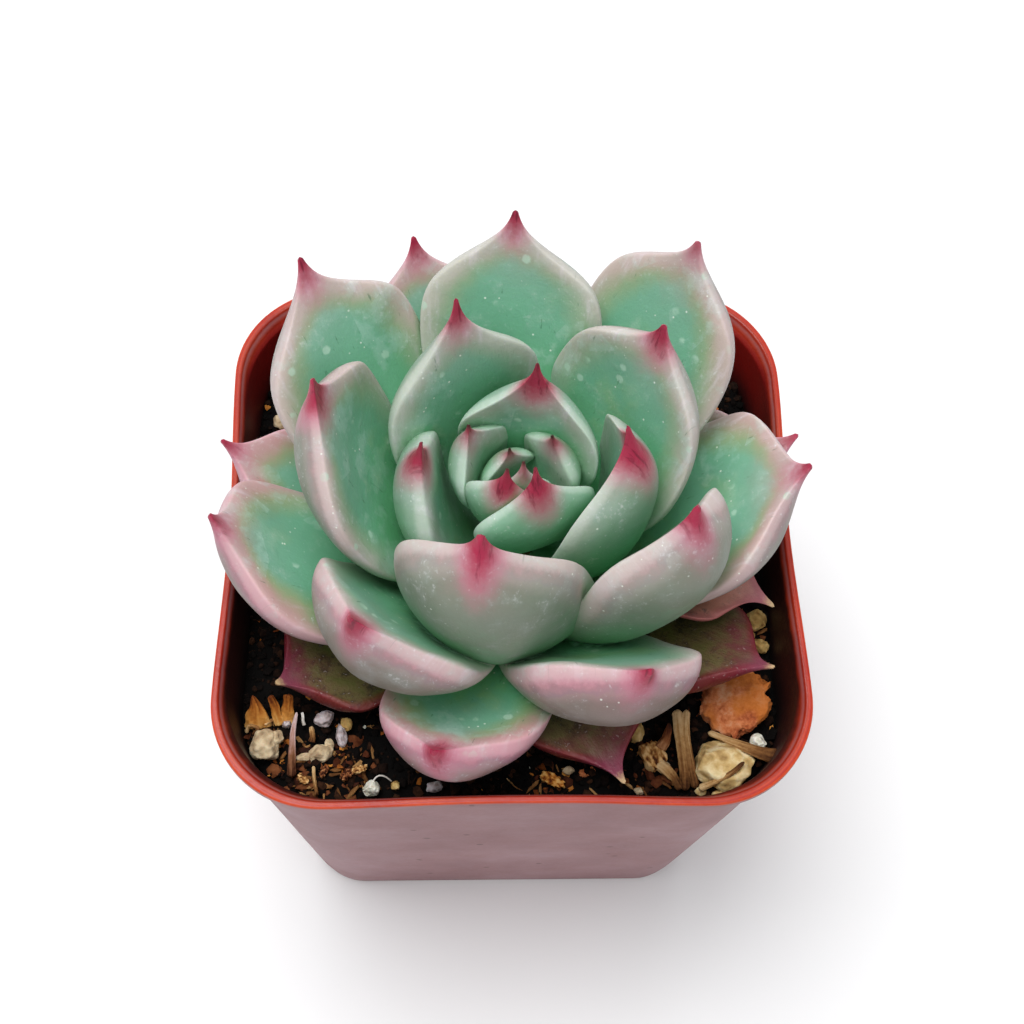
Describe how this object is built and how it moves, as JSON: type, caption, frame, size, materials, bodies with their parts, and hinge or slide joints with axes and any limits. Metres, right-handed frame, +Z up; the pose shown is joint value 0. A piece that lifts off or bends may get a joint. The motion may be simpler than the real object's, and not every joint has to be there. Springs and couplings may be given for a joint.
{
  "type": "potted echeveria colorata",
  "caption": "Compact rosette succulent with cupped blue-green leaves and red points, growing in gritty soil in a small square plastic nursery pot.",
  "frame": {"origin": "middle of the pot's flat underside", "axes": "+Z up along the stem, -Y towards the front of the pot"},
  "size_m": [0.057, 0.057, 0.0786],
  "materials": {
    "pot": "satin moulded plastic, orange-red with a pale bloom of lime on the outside",
    "soil": "dark moist peat with fine grit and fibres",
    "stem": "short fleshy stem",
    "leaf": "fleshy leaf with a pale powdery bloom, dusty pink edges and a red point",
    "old_leaf": "ageing leaf, purple-brown and dull",
    "bark": "rough orange-brown bark",
    "twig": "weathered woody fibre",
    "pumice": "porous pale yellow pumice",
    "perlite": "porous off-white perlite"
  },
  "bodies": {
    "root": {"pot": "pot", "soil": "soil", "stem": "stem", "leaf_heart_1": "leaf", "leaf_heart_2": "leaf", "leaf_heart_3": "leaf", "leaf_heart_4": "leaf", "leaf_heart_5": "leaf", "leaf_heart_6": "leaf", "leaf_inner_1": "leaf", "leaf_inner_2": "leaf", "leaf_inner_3": "leaf", "leaf_middle_1": "leaf", "leaf_middle_2": "leaf", "leaf_middle_3": "leaf", "leaf_middle_4": "leaf", "leaf_middle_5": "leaf", "leaf_outer_1": "leaf", "leaf_outer_2": "leaf", "leaf_outer_3": "leaf", "leaf_outer_4": "leaf", "leaf_outer_5": "leaf", "leaf_outer_6": "leaf", "leaf_outer_7": "leaf", "leaf_outer_8": "leaf", "leaf_low_1": "leaf", "leaf_low_2": "leaf", "leaf_low_3": "leaf", "leaf_low_4": "leaf", "leaf_low_5": "leaf", "leaf_low_6": "leaf", "leaf_old_1": "old_leaf", "leaf_old_2": "old_leaf", "leaf_old_3": "old_leaf", "leaf_old_4": "old_leaf", "pumice_front_right": "pumice", "perlite_front_left": "perlite", "perlite_front_1": "perlite", "perlite_front_2": "perlite", "perlite_back_left": "perlite", "perlite_right": "perlite", "bark_chip_right": "bark", "bark_chip_left": "bark", "bark_chip_front": "bark", "bark_chip_back": "bark", "twig_left": "twig", "twig_right": "twig"}
  },
  "joints": []
}
